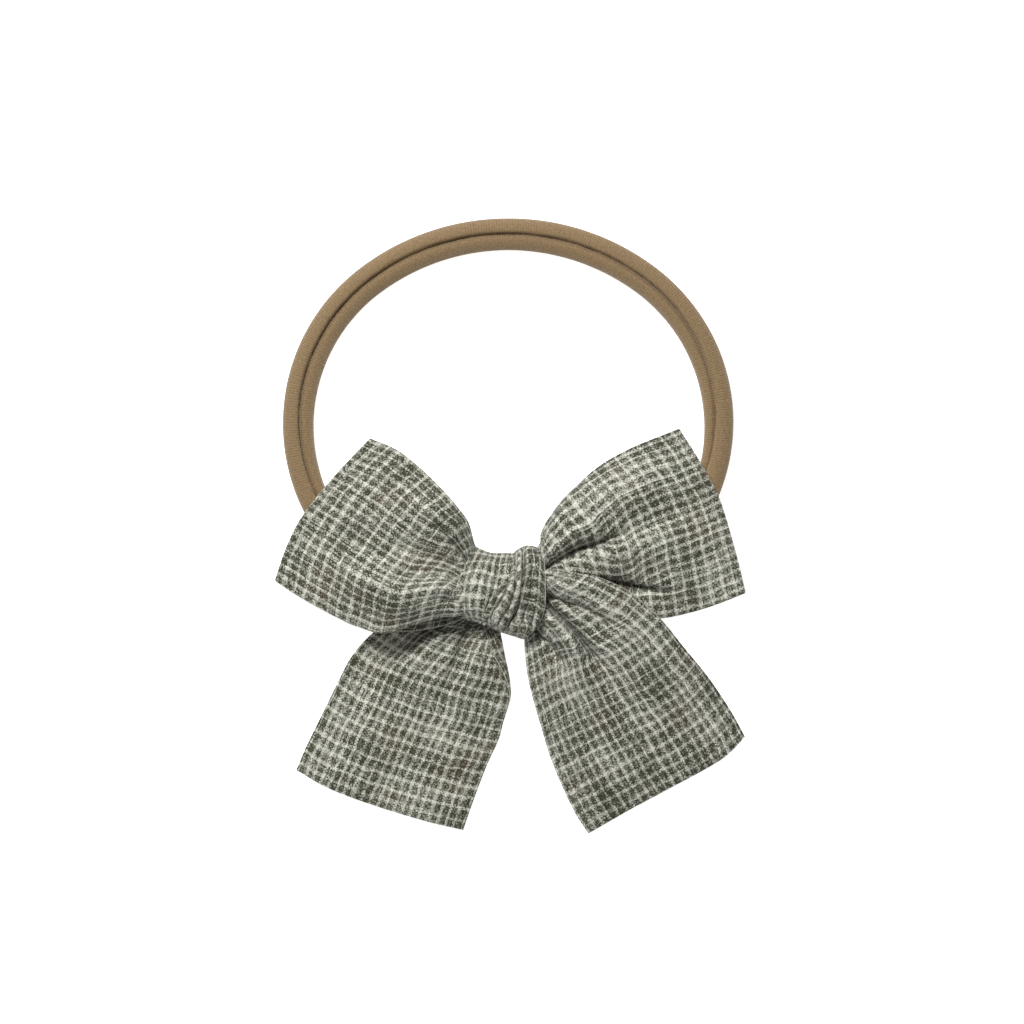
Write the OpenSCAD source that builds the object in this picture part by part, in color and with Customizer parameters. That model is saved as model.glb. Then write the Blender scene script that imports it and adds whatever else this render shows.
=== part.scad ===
// Tied sash hair bow on a curled nylon headband, lying flat on its back.
// Origin: centre of the ring, on the surface that it lies on. +Z is up, out of the bow's face
// and along the axis of the head. The bow is at the -Y side of the ring.

/* [Headband] */
// Half the width of the ring, to the middle of the band
ring_half_w = 51.4; // [50:0.1:56]
// Half the length of the ring, to the middle of the band
ring_half_h = 45.4; // [44.5:0.1:46]
// Radius of the ring's left and right sides
side_r = 44.2; // [43:0.1:44.4]
// Width of the curled band
band_w = 7.2; // [6.6:0.1:7.2]
// Height of the curled band
band_h = 6.4; // [5.6:0.1:6.4]
// Depth of the groove between the two curled edges
groove_depth = 1.6; // [0.8:0.1:2.2]
// Diameter that the knot squeezes the band to
squeezed_d = 4.2; // [3.6:0.1:4.4]

/* [Cloth] */
// Thickness of the sewn and turned sash, both layers
cloth_t = 1.0; // [0.8:0.1:1.2]
// Gap between the two layers of the sash
layer_gap = 0.04; // [0.02:0.01:0.1]

/* [Knot] */
// Left end of the knot
knot_left = -10.8; // [-11:0.1:-10.4]
// Right end of the knot
knot_right = 9; // [8.4:0.1:9.2]
// Where the over turn laps the under turn
lap_x = 0.5; // [-1:0.1:2]
// Height of the under turn in the plane of the bow
under_turn_h = 19.6; // [19:0.1:21]
// Height of the over turn in the plane of the bow
over_turn_h = 23.6; // [22.4:0.1:24]
// Top of the under turn in the plane of the bow
knot_top_y = -31; // [-31.4:0.1:-30.8]
// Thickness of the wrapped cloth at the face of the knot
wrap_t = 1.6; // [1.2:0.1:2]
// Running clearance between the squeezed band and the cloth turned round it
turn_clearance = 0.1; // [0.05:0.01:0.1]

/* [Bow] */
// Height of the front of a loop at its middle
loop_puff = 12; // [9:0.5:13]
// How far the outer folds of the loops bow outwards
fold_bulge = 3; // [0:0.5:4]
// Gap at a hinge line
hinge_gap = 0.4; // [0.3:0.05:0.5]
// Where the left tail bends when it is lifted, as a share of the way from knot to end
left_tail_fold = 0.43; // [0.42:0.01:0.5]
// Where the right tail bends when it is lifted, as a share of the way from knot to end
right_tail_fold = 0.5; // [0.48:0.01:0.6]

/* [Hidden] */

// Oval centreline: a straight run inside the knot, two side arcs and one flatter top arc.
straight_half = ring_half_w - side_r;
side_y = side_r - ring_half_h;
rise = ring_half_h - side_y;
top_r = (straight_half * straight_half + rise * rise - side_r * side_r) / (2 * (rise - side_r));
top_y = ring_half_h - top_r;
join_angle = atan2(side_y - top_y, straight_half);
band_z = band_h / 2;
band_y = -ring_half_h;

turn_r_in = squeezed_d / 2 + turn_clearance;
turn_r_out = band_h / 2;
turn_half = straight_half - 0.2;

knot_z0 = band_z + band_w / 2 + 0.3;   // underside of everything that swivels over the band
layer_t = (cloth_t - layer_gap) / 2;
left_root_x = knot_left - hinge_gap;
right_root_x = knot_right + hinge_gap;
loop_back_z = knot_z0;
loop_end_z = loop_back_z + cloth_t + 0.2;
fold_step = hinge_gap / 110;            // half of the gap at a tail's fold, as a share of its length
band_fn = 96;
cloth_colour = [0.55, 0.55, 0.49];
band_colour = [0.54, 0.45, 0.32];

function mix(a, b, t) = a * (1 - t) + b * t;
function cubic(p, t) = pow(1 - t, 3) * p[0] + 3 * pow(1 - t, 2) * t * p[1]
                     + 3 * (1 - t) * t * t * p[2] + pow(t, 3) * p[3];
function sheet_point(low, high, heights, bulge, crown, u, v) =
    let (a = cubic(low, u), b = cubic(high, u), chord = b - a,
         out = [chord[1], -chord[0]] / max(norm(chord), 0.001),
         p = mix(a, b, v) + out * bulge * u * u * 4 * v * (1 - v))
    [p[0], p[1], cubic(heights, u) + crown * sin(180 * u) * sin(180 * v)];

// A closed sheet of cloth of even thickness. Its edges are two cubic curves, from the knot (u = 0)
// to the outer edge (u = 1); heights is the cubic that its underside follows. from and to are the
// stretch of u that is drawn.
module cloth_sheet(low, high, heights, thick, lift = 0, bulge = 0, crown = 0,
                   from = 0, to = 1, nu = 14, nv = 8) {
    cols = nv + 1;
    side = (nu + 1) * cols;
    grid = [for (layer = [0, 1], i = [0:nu], j = [0:nv])
        sheet_point(low, high, heights, bulge, crown, mix(from, to, i / nu), j / nv)
            + [0, 0, lift + layer * thick]];
    quads = [for (i = [0:nu - 1], j = [0:nv - 1]) let (a = i * cols + j)
        [a, a + cols, a + cols + 1, a + 1]];
    rim = concat([for (j = [0:nv]) j], [for (i = [1:nu]) i * cols + nv],
                 [for (j = [1:nv]) nu * cols + nv - j], [for (i = [1:nu - 1]) (nu - i) * cols]);
    count = len(rim);
    faces = concat(
        [for (q = quads) each [[q[0], q[1], q[2]], [q[0], q[2], q[3]]]],
        [for (q = quads) each [[q[2] + side, q[1] + side, q[0] + side],
                               [q[3] + side, q[2] + side, q[0] + side]]],
        [for (k = [0:count - 1]) let (a = rim[k], b = rim[(k + 1) % count])
            each [[a, b, b + side], [a, b + side, a + side]]]);
    left_handed = cross(cubic(low, 1) - cubic(low, 0), cubic(high, 0.5) - cubic(low, 0.5)) < 0;
    polyhedron(grid, left_handed ? [for (f = faces) [f[2], f[1], f[0]]] : faces);
}

// Section of the curled band: two rolled edges that meet in a groove on top.
module band_section() {
    lobe_r = band_w / 4 + 0.35;
    difference() {
        union() {
            for (s = [-1, 1]) {
                translate([s * (band_w / 2 - lobe_r), band_h / 2 - lobe_r]) circle(lobe_r, $fn = 48);
                translate([s * (band_w / 2 - lobe_r), lobe_r - band_h / 2]) circle(lobe_r, $fn = 48);
            }
            square([band_w, band_h - 2 * lobe_r], center = true);
            translate([0, -lobe_r / 2]) square([band_w - 2 * lobe_r, band_h - lobe_r], center = true);
        }
        translate([0, band_h / 2]) circle(groove_depth / 2, $fn = 32);
    }
}

module band_arc(centre, r, from, sweep) {
    translate([centre[0], centre[1], band_z]) rotate([0, 0, from])
        rotate_extrude(angle = sweep, $fn = band_fn) translate([r, 0]) band_section();
}

module nylon_band() {
    color(band_colour) {
        band_arc([0, top_y], top_r, join_angle, 180 - 2 * join_angle);
        band_arc([straight_half, side_y], side_r, -90, 90 + join_angle);
        band_arc([-straight_half, side_y], side_r, 180 - join_angle, 90 + join_angle);
        translate([0, band_y, band_z]) rotate([0, 90, 0])
            cylinder(h = 2 * straight_half + 1, d = squeezed_d, center = true, $fn = 48);
    }
}

// Thread rings where the two ends of the nylon tape are lapped and sewn, hidden in the knot.
module band_join_stitches() {
    color([0.45, 0.37, 0.26])
        for (x = [-2.4:1.2:2.4])
            translate([x, band_y, band_z]) rotate([0, 90, 0])
                rotate_extrude($fn = 48) translate([squeezed_d / 2 - 0.04, 0]) circle(0.06, $fn = 16);
}

// A rounded bar along X: the section that bunched cloth takes inside the knot.
module bar(x0, x1, half_y, half_z, y, z) {
    for (s = [-1, 1])
        translate([x0, y + s * (half_y - half_z), z]) rotate([0, 90, 0])
            cylinder(h = x1 - x0, r = half_z, $fn = 48);
    translate([x0, y - half_y + half_z, z - half_z])
        cube([x1 - x0, 2 * (half_y - half_z), 2 * half_z]);
}

// The middle of the sash, where it passes behind the band, grips it and rises into the knot.
module knot_back_turn() {
    neck_h = knot_z0 - band_z;
    color(cloth_colour) translate([0, band_y, band_z]) difference() {
        union() {
            rotate([0, 90, 0]) cylinder(h = 2 * turn_half, r = turn_r_out, center = true, $fn = 64);
            translate([-turn_half, -turn_r_in, 0]) cube([2 * turn_half, 2 * turn_r_in, neck_h]);
        }
        rotate([0, 90, 0]) cylinder(h = 2 * turn_half + 2, r = turn_r_in, center = true, $fn = 64);
    }
}

knot_half_z = 4.2;
knot_z = knot_z0 + knot_half_z;
core_half_y = under_turn_h / 2 - wrap_t;
core_half_z = knot_half_z - wrap_t;
under_turn_y = knot_top_y - under_turn_h / 2;
over_turn_y = knot_top_y + 0.4 - over_turn_h / 2;
fit_gap = 0.1;

// The first half of the knot, where the two halves of the sash cross under the turns.
module knot_inner_crossing() {
    color(cloth_colour) bar(knot_left + 1, knot_right - 1, core_half_y - fit_gap, core_half_z - fit_gap,
                            under_turn_y, knot_z);
}

// One turn of the sash over the knot: a fat shell round the crossing, with rounded ends.
module turn_shell(x0, x1, half_y, y, rise) {
    mid = (x0 + x1) / 2;
    difference() {
        hull() {
            bar(x0, mid, half_y - 0.9, knot_half_z - 0.7, y, knot_z + rise);
            bar(x0 + 1.2, x1 - 1.2, half_y, knot_half_z, y, knot_z + rise);
            bar(mid, x1, half_y - 0.5, knot_half_z - 0.4, y, knot_z + rise);
        }
        bar(x0 - 1, x1 + 1, core_half_y, core_half_z, under_turn_y, knot_z);
    }
}

// The left, smooth part of the turn over the knot's face.
module knot_under_turn() {
    color(cloth_colour) turn_shell(knot_left, lap_x, under_turn_h / 2, under_turn_y, 0);
}

// The right part, which laps over the left one.
module knot_over_turn() {
    color(cloth_colour)
        turn_shell(lap_x + fit_gap / 2, knot_right, over_turn_h / 2, over_turn_y, 0.25);
}

// Edges of the loops and tails, from the knot to the outer edge.
left_loop_low = [[left_root_x, -46.5], [-26, -55.5], [-40, -49.8], [-56.4, -39.6]];
left_loop_high = [[left_root_x, -33], [-8, -24], [-17.6, -12.6], [-33, -5.1]];
right_loop_low = [[right_root_x, -44], [26, -50.5], [42, -48.5], [57.3, -42.6]];
right_loop_high = [[right_root_x, -33.5], [7, -21], [20, -11], [41.2, -2.6]];
left_tail_low = [[-9, -49.4], [-38, -46], [-42, -62], [-52, -85.6]];
left_tail_high = [[-3.5, -49.4], [2.5, -60], [3.5, -74], [-11.2, -100.2]];
right_tail_low = [[right_root_x, -55.3], [0, -62], [8, -80], [19.5, -101.2]];
right_tail_high = [[right_root_x + 1.2, -37.5], [33, -36], [43, -54], [57.9, -77.6]];

// Heights of their undersides above the surface that the bow lies on.
loop_back_heights = [loop_back_z, loop_back_z, loop_back_z, loop_back_z];
left_front_heights = [11, loop_end_z + loop_puff * 0.6, loop_end_z + loop_puff * 0.3, loop_end_z];
right_front_heights = [10.2, loop_end_z + 1.4, loop_end_z + 0.6, loop_end_z];
left_tail_heights = [2.6, 2.4, 0.6, 0.1];
right_tail_heights = [12.8, 13.6, 10.6, 0.1];

module left_loop_back() {
    color(cloth_colour) cloth_sheet(left_loop_low, left_loop_high, loop_back_heights, cloth_t,
                                    bulge = -fold_bulge);
}

module left_loop_front() {
    color(cloth_colour) cloth_sheet(left_loop_low, left_loop_high, left_front_heights, cloth_t,
                                    bulge = -fold_bulge, crown = 1);
}

module right_loop_back() {
    color(cloth_colour) cloth_sheet(right_loop_low, right_loop_high, loop_back_heights, cloth_t,
                                    bulge = fold_bulge);
}

module right_loop_front() {
    color(cloth_colour) cloth_sheet(right_loop_low, right_loop_high, right_front_heights, cloth_t,
                                    bulge = fold_bulge, crown = 1);
}

// The hidden start of each tail, which stays with the knot or with the loop that it lies on.
module left_tail_root() {
    color(cloth_colour) cloth_sheet(left_tail_low, left_tail_high, left_tail_heights, cloth_t,
                                    to = left_tail_fold - fold_step, nu = 8);
}

module right_tail_root() {
    color(cloth_colour) cloth_sheet(right_tail_low, right_tail_high, right_tail_heights, cloth_t,
                                    to = right_tail_fold - fold_step, nu = 5, nv = 3);
}

// The free part of each tail: a backing and a face, sewn round their edges.
module left_tail_layer(lift) {
    color(cloth_colour) cloth_sheet(left_tail_low, left_tail_high, left_tail_heights, layer_t,
                                    lift = lift, from = left_tail_fold + fold_step);
}

module right_tail_layer(lift) {
    color(cloth_colour) cloth_sheet(right_tail_low, right_tail_high, right_tail_heights, layer_t,
                                    lift = lift, from = right_tail_fold + fold_step);
}

module left_tail_backing() { left_tail_layer(0); }
module left_tail_face() { left_tail_layer(layer_t + layer_gap); }
module right_tail_backing() { right_tail_layer(0); }
module right_tail_face() { right_tail_layer(layer_t + layer_gap); }

nylon_band();
band_join_stitches();
knot_back_turn();
knot_inner_crossing();
knot_under_turn();
knot_over_turn();
left_tail_root();
right_tail_root();
left_loop_front();
left_loop_back();
right_loop_front();
right_loop_back();
left_tail_face();
left_tail_backing();
right_tail_face();
right_tail_backing();
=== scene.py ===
"""Tied sash hair bow on a curled nylon headband, lying on a pale table.

The sash is cloth of small checks, sewn double and turned. Every stretch of it is a surface over
(u, v): u runs along the sash from the knot outwards, v across it from its low edge to its high
edge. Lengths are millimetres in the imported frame, and become metres when a mesh is made.
"""
import math

import bpy
import numpy as np
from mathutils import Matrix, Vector


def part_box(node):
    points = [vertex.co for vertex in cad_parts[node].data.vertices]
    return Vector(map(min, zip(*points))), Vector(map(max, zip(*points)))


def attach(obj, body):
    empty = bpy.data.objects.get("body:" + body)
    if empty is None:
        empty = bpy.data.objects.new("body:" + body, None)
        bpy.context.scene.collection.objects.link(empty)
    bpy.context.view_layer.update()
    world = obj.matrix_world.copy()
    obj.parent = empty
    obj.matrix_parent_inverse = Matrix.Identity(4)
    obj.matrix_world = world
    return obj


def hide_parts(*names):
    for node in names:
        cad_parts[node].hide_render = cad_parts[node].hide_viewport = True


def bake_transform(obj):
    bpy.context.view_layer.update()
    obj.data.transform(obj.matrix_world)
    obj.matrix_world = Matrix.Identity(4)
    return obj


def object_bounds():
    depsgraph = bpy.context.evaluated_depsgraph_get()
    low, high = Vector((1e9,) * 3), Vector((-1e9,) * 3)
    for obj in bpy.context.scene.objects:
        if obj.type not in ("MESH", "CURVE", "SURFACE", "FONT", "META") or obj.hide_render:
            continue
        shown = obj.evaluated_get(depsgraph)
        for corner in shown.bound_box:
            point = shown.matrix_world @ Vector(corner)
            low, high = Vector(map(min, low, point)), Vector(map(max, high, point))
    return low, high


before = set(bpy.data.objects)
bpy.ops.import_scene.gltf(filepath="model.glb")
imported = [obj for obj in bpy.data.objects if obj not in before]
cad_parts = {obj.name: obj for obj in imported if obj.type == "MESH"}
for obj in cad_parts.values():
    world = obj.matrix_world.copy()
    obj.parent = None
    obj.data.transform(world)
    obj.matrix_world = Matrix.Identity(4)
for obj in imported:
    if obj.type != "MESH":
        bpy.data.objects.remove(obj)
cad_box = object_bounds()

MM = 0.001
SASH_W = 43.5                 # width of the sash
CLOTH_T = 0.9                 # thickness of both layers together
MARGIN_R = 0.7                # radius of the bend where an edge of the sash curls over
EDGE_R = 0.45                 # how far in from its edge the sash reaches full thickness
YARN = 0.37                   # spacing of single yarns
SEAM_R = 0.13                 # radius of the pale line along a turned edge
WARP_PITCH = 2.13             # spacing of the check's pale lines across the sash
WEFT_PITCH = 3.0              # and along it
FOLD_Z = 8.6                  # height of the middle of a loop's outer fold
FOLD_R = 0.75                 # half the height of that fold
KNOT_CLOTH_T = 0.5            # thickness of the pleated sash in the knot
TURN_SHARE = 0.42             # share of the sash's width that shows on a turn of the knot
TURN_BACK_Z = 0.6             # height of the back of the knot's turns
TURN_BACK_HALF = 6.4          # half width of the turns behind the knot
RIB_PITCH = 0.62              # spacing of the ribs of the nylon knit
STITCH_PITCH = 0.4            # spacing of its stitches round the band


# ---------------------------------------------------------------- curves and surfaces

def spline(keys, values, t):
    """Smooth curve through values at keys, sampled at t. The values may be points."""
    keys = np.asarray(keys, float)
    values = np.asarray(values, float)
    t = np.clip(np.asarray(t, float), keys[0], keys[-1])
    slope = np.empty_like(values)
    slope[1:-1] = ((values[2:] - values[:-2]).T / (keys[2:] - keys[:-2])).T
    slope[0] = (values[1] - values[0]) / (keys[1] - keys[0])
    slope[-1] = (values[-1] - values[-2]) / (keys[-1] - keys[-2])
    i = np.clip(np.searchsorted(keys, t, side="right") - 1, 0, len(keys) - 2)
    step = keys[i + 1] - keys[i]
    s = (t - keys[i]) / step
    shape = s.shape + (1,) * (values.ndim - 1)
    s, step = s.reshape(shape), step.reshape(shape)
    return ((2 * s ** 3 - 3 * s ** 2 + 1) * values[i] + (s ** 3 - 2 * s ** 2 + s) * step * slope[i]
            + (3 * s ** 2 - 2 * s ** 3) * values[i + 1] + (s ** 3 - s ** 2) * step * slope[i + 1])


def profile(points, t):
    """Smooth curve through (position, value) pairs, sampled at t."""
    keys, values = zip(*points)
    return spline(keys, values, t)


def path(points, t):
    """Smooth curve through points, with t from 0 to 1 by distance along it."""
    points = np.asarray(points, float)
    far = np.concatenate([[0], np.cumsum(np.linalg.norm(np.diff(points, axis=0), axis=1))])
    return spline(far / far[-1], points, t)


def net(u_keys, v_keys, table, u, v):
    """Smooth surface through a table of heights, a row for each u key."""
    rows = np.stack([spline(v_keys, row, v) for row in table])
    return spline(u_keys, rows, u)


def fan(low, high, bulge, u, v):
    """Plan of a stretch of sash between its two edges. Its outer end bows out by bulge(v)."""
    a, b = path(low, u), path(high, u)
    plan = a[:, None] * (1 - v)[None, :, None] + b[:, None] * v[None, :, None]
    chord = b[-1] - a[-1]
    out = np.array([chord[1], -chord[0]]) / np.linalg.norm(chord)
    forward = plan[-1, len(v) // 2] - plan[len(u) // 2, len(v) // 2]
    out *= math.copysign(1, out @ forward)
    amount = profile(bulge, v)
    return plan + out * (amount[None, :] * (u ** 3)[:, None])[..., None]


def waves(x, y, seed, length, count=9):
    """Gentle uneven ripples of about the given length, from -1 to 1."""
    rng = np.random.default_rng(seed)
    total = np.zeros_like(x)
    for _ in range(count):
        angle = rng.uniform(0, math.pi)
        k = 2 * math.pi / (length * rng.uniform(0.6, 1.6))
        total += np.sin(k * (x * math.cos(angle) + y * math.sin(angle)) + rng.uniform(0, 6.28))
    return total / count * 1.7


def gathers(u, v, seed, reach, tall):
    """Fine pleats that start at the knot and die out by reach, as a share of the way out."""
    rng = np.random.default_rng(seed)
    total = np.zeros((len(u), len(v)))
    for _ in range(16):
        centre, wide = rng.uniform(0.04, 0.96), rng.uniform(0.018, 0.045)
        far, drift = reach * rng.uniform(0.4, 1.3), rng.uniform(-0.12, 0.12)
        line = centre + drift * u
        fade = np.exp(-(u / far) ** 2)
        total += rng.choice([-1, 1]) * (fade[:, None]
                                        * np.exp(-((v[None, :] - line[:, None]) / wide) ** 2))
    return total * tall


STROKE_T = np.linspace(0, 1, 28)     # places along a crease at which its line is worked out


def stroke_at(points, x, y):
    """Signed distance in plan from a smooth line through points, and how far along it, 0 to 1.
    Past the line's ends the distance is measured to its end."""
    line = path(points, STROKE_T)
    best = np.full(x.shape, 1e9)
    side, along = np.zeros(x.shape), np.zeros(x.shape)
    for k in range(len(line) - 1):
        a, d = line[k], line[k + 1] - line[k]
        s = np.clip(((x - a[0]) * d[0] + (y - a[1]) * d[1]) / (d @ d), 0, 1)
        dx, dy = x - a[0] - s * d[0], y - a[1] - s * d[1]
        far = np.hypot(dx, dy)
        near = far < best
        best = np.where(near, far, best)
        side = np.where(near, np.sign(d[0] * dy - d[1] * dx), side)
        along = np.where(near, STROKE_T[k] + s * (STROKE_T[k + 1] - STROKE_T[k]), along)
    return best * side, along


def crease(grid, points, depth, width, lap=0.0, over=0.0, front=None):
    """Shift of a grid of points along a line in plan. depth is how far the line stands up or, below
    zero, sinks in, at its start, middle and end; width is its half width there. lap raises the
    cloth on the line's left and lowers it on its right, and over pulls the two together, so that
    one fold lies over the next. front limits it to the points that face up."""
    x, y = grid[..., 0], grid[..., 1]
    far, along = stroke_at(points, x, y)
    tall = spline([0, 0.5, 1], depth, along)
    wide = spline([0, 0.5, 1], width, along)
    share = far / wide
    fade = np.clip(along / 0.06, 0, 1) * np.clip((1 - along) / 0.3, 0, 1) * np.exp(-share ** 2)
    if front is not None:
        fade = fade * front
    pull = -over * share * wide * fade
    ahead = np.gradient(path(points, STROKE_T), axis=0)
    ahead /= np.linalg.norm(ahead, axis=1, keepdims=True)
    facing = np.stack([np.interp(along, STROKE_T, ahead[:, k]) for k in (0, 1)], axis=-1)
    return np.dstack([-facing[..., 1] * pull, facing[..., 0] * pull, (tall + lap * share) * fade])


def lengths(grid, axis):
    """Distance travelled along one axis of a grid of points."""
    step = np.linalg.norm(np.diff(grid, axis=axis), axis=2)
    start = np.zeros_like(np.take(step, [0], axis=axis))
    return np.concatenate([start, np.cumsum(step, axis=axis)], axis=axis)


def normals(grid):
    """Unit normals of a grid of points."""
    n = np.cross(np.gradient(grid, axis=0), np.gradient(grid, axis=1))
    return n / np.maximum(np.linalg.norm(n, axis=2, keepdims=True), 1e-9)


def steps(count, fine=0.004):
    """Positions from 0 to 1, with extra ones close to both ends."""
    near = np.array([0.15, 0.4, 0.8, 1.3]) * fine
    return np.unique(np.concatenate([np.linspace(0, 1, count), near, 1 - near]))


def roll_edge(grid, amount, radius):
    """Turns the high margin of a sheet over on itself, upwards. amount is the width of the turned
    margin at each row; the cloth goes round a bend of the given radius and lies back flat."""
    look_back = 2.5
    out = grid.copy()
    across = lengths(grid, 1)
    for i, wide in enumerate(amount):
        if wide < 0.05:
            continue
        bend = math.pi * min(1.0, wide / 2)
        start = across[i, -1] - wide - bend * radius
        foot, before = (np.array([np.interp(at, across[i], grid[i, :, k]) for k in range(3)])
                        for at in (start, start - look_back))
        ahead = (foot - before) * (1, 1, 0.3)
        ahead /= np.linalg.norm(ahead)
        up = np.array([0, 0, 1.0]) - ahead[2] * ahead
        up /= np.linalg.norm(up)
        s = across[i] - start
        turn = np.minimum(s / radius, bend)
        flat = np.maximum(s - bend * radius, 0)
        forward = radius * np.sin(turn) + flat * math.cos(bend)
        rise = radius * (1 - np.cos(turn)) + flat * math.sin(bend)
        rolled = foot + forward[:, None] * ahead + rise[:, None] * up
        out[i] = np.where((s > 0)[:, None], rolled, grid[i])
    return out


# ---------------------------------------------------------------- meshes

def mesh_object(name, verts, faces, uvs, materials, slots):
    """A smooth mesh from millimetre points. uvs holds one pair, in millimetres, per vertex."""
    mesh = bpy.data.meshes.new(name)
    mesh.from_pydata((np.asarray(verts) * MM).tolist(), [], faces)
    layer = mesh.uv_layers.new(name="UVMap")
    corner = np.empty(len(mesh.loops), int)
    mesh.loops.foreach_get("vertex_index", corner)
    layer.data.foreach_set("uv", np.asarray(uvs, float)[corner].ravel())
    mesh.polygons.foreach_set("use_smooth", [True] * len(mesh.polygons))
    mesh.polygons.foreach_set("material_index", slots)
    for m in materials:
        mesh.materials.append(m)
    mesh.update()
    made = bpy.data.objects.new(name, mesh)
    bpy.context.scene.collection.objects.link(made)
    return made


def ring_faces(rings, sides, offset=0, closed=False):
    """Faces between rings of points; closed joins the last ring to the first."""
    faces = []
    for i in range(rings if closed else rings - 1):
        a, b = offset + i * sides, offset + (i + 1) % rings * sides
        for k in range(sides):
            m = (k + 1) % sides
            faces.append((a + k, b + k, b + m, a + m))
    return faces


def tube(line, radius, offset, sides=6):
    """Points and faces of a thin tube along a line, tapering to nothing at its ends."""
    tangent = np.gradient(line, axis=0)
    tangent /= np.maximum(np.linalg.norm(tangent, axis=1, keepdims=True), 1e-9)
    side = np.cross(tangent, [0.1, 0.1, 1.0])
    side /= np.maximum(np.linalg.norm(side, axis=1, keepdims=True), 1e-9)
    up = np.cross(side, tangent)
    angle = np.arange(sides) * 2 * math.pi / sides
    place = np.arange(len(line))
    fade = np.sqrt(np.clip(np.minimum(place, place[::-1]) / 12, 0.02, 1))
    ring = (line[:, None] + (radius * fade)[:, None, None]
            * (np.cos(angle)[None, :, None] * side[:, None] + np.sin(angle)[None, :, None] * up[:, None]))
    last = offset + (len(line) - 1) * sides
    faces = ring_faces(len(line), sides, offset)
    faces += [tuple(offset + k for k in range(sides)), tuple(last + k for k in reversed(range(sides)))]
    return ring.reshape(-1, 3), faces


def half_thickness(grid, across, thickness, closed):
    """Half the thickness at each point of a cloth, rounded off within EDGE_R of its open edges."""
    inset = np.minimum(across, across[:, -1:] - across)
    if not closed:
        along = lengths(grid, 0)
        inset = np.minimum(inset, np.minimum(along, along[-1:] - along))
    inset = np.clip(inset / EDGE_R, 0, 1)
    return thickness / 2 * np.sqrt(1 - (1 - inset) ** 2)


def shell_faces(rows, cols, closed):
    """Faces of an upper and a lower layer of points that share those on their open edges. Returns
    which points are used, counting the upper layer first, and the faces between them."""
    upper = np.arange(rows * cols).reshape(rows, cols)
    rim = np.zeros((rows, cols), bool)
    rim[:, [0, -1]] = True
    if not closed:
        rim[[0, -1]] = True
    lower = np.where(rim, upper, upper + rows * cols)
    used = np.unique(np.concatenate([upper.ravel(), lower.ravel()]))
    upper, lower = np.searchsorted(used, upper), np.searchsorted(used, lower)
    next_up, next_low = np.roll(upper, -1, axis=0), np.roll(lower, -1, axis=0)
    end = rows if closed else rows - 1
    top = [upper[:end, :-1], next_up[:end, :-1], next_up[:end, 1:], upper[:end, 1:]]
    bottom = [lower[:end, :-1], lower[:end, 1:], next_low[:end, 1:], next_low[:end, :-1]]
    faces = np.concatenate([np.stack(side, axis=2).reshape(-1, 4) for side in (top, bottom)])
    return used, [tuple(f) for f in faces.tolist()]


def cloth(name, grid, uv_u, uv_v0, seams=(), thickness=CLOTH_T, width=SASH_W, closed=False):
    """A double layer of cloth over a grid of points, with soft rounded edges. uv_u is each point's
    place along the flat sash, and uv_v0 moves each piece to its own part of the check. seams lists
    (edge, start, end) of the pale lines along its edges. closed joins the last row to the first."""
    rows, cols = grid.shape[:2]
    across = lengths(grid, 1)
    share = across / np.maximum(across[:, -1:], 1e-6)
    n = normals(np.concatenate([grid[-1:], grid, grid[:1]]))[1:-1] if closed else normals(grid)
    rise = n * half_thickness(grid, across, thickness, closed)[..., None]
    used, faces = shell_faces(rows, cols, closed)
    verts = np.concatenate([(grid + rise).reshape(-1, 3), (grid - rise).reshape(-1, 3)])[used]
    uv = np.stack([uv_u, share * width + uv_v0], axis=2).reshape(-1, 2)
    uvs = np.concatenate([uv, uv])[used]
    slots = [0] * len(faces)
    sides = {"low": grid[:, 0], "high": grid[:, -1]}
    for edge, start, stop in seams:
        line = sides[edge][int(start * (rows - 1)):int(stop * (rows - 1)) + 1]
        points, more = tube(line, SEAM_R, len(verts))
        verts = np.concatenate([verts, points])
        uvs = np.concatenate([uvs, np.zeros((len(points), 2))])
        faces += more
        slots += [1] * len(more)
    return mesh_object(name, verts, faces, uvs, [CHECK, THREAD], slots)


# ---------------------------------------------------------------- materials

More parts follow.
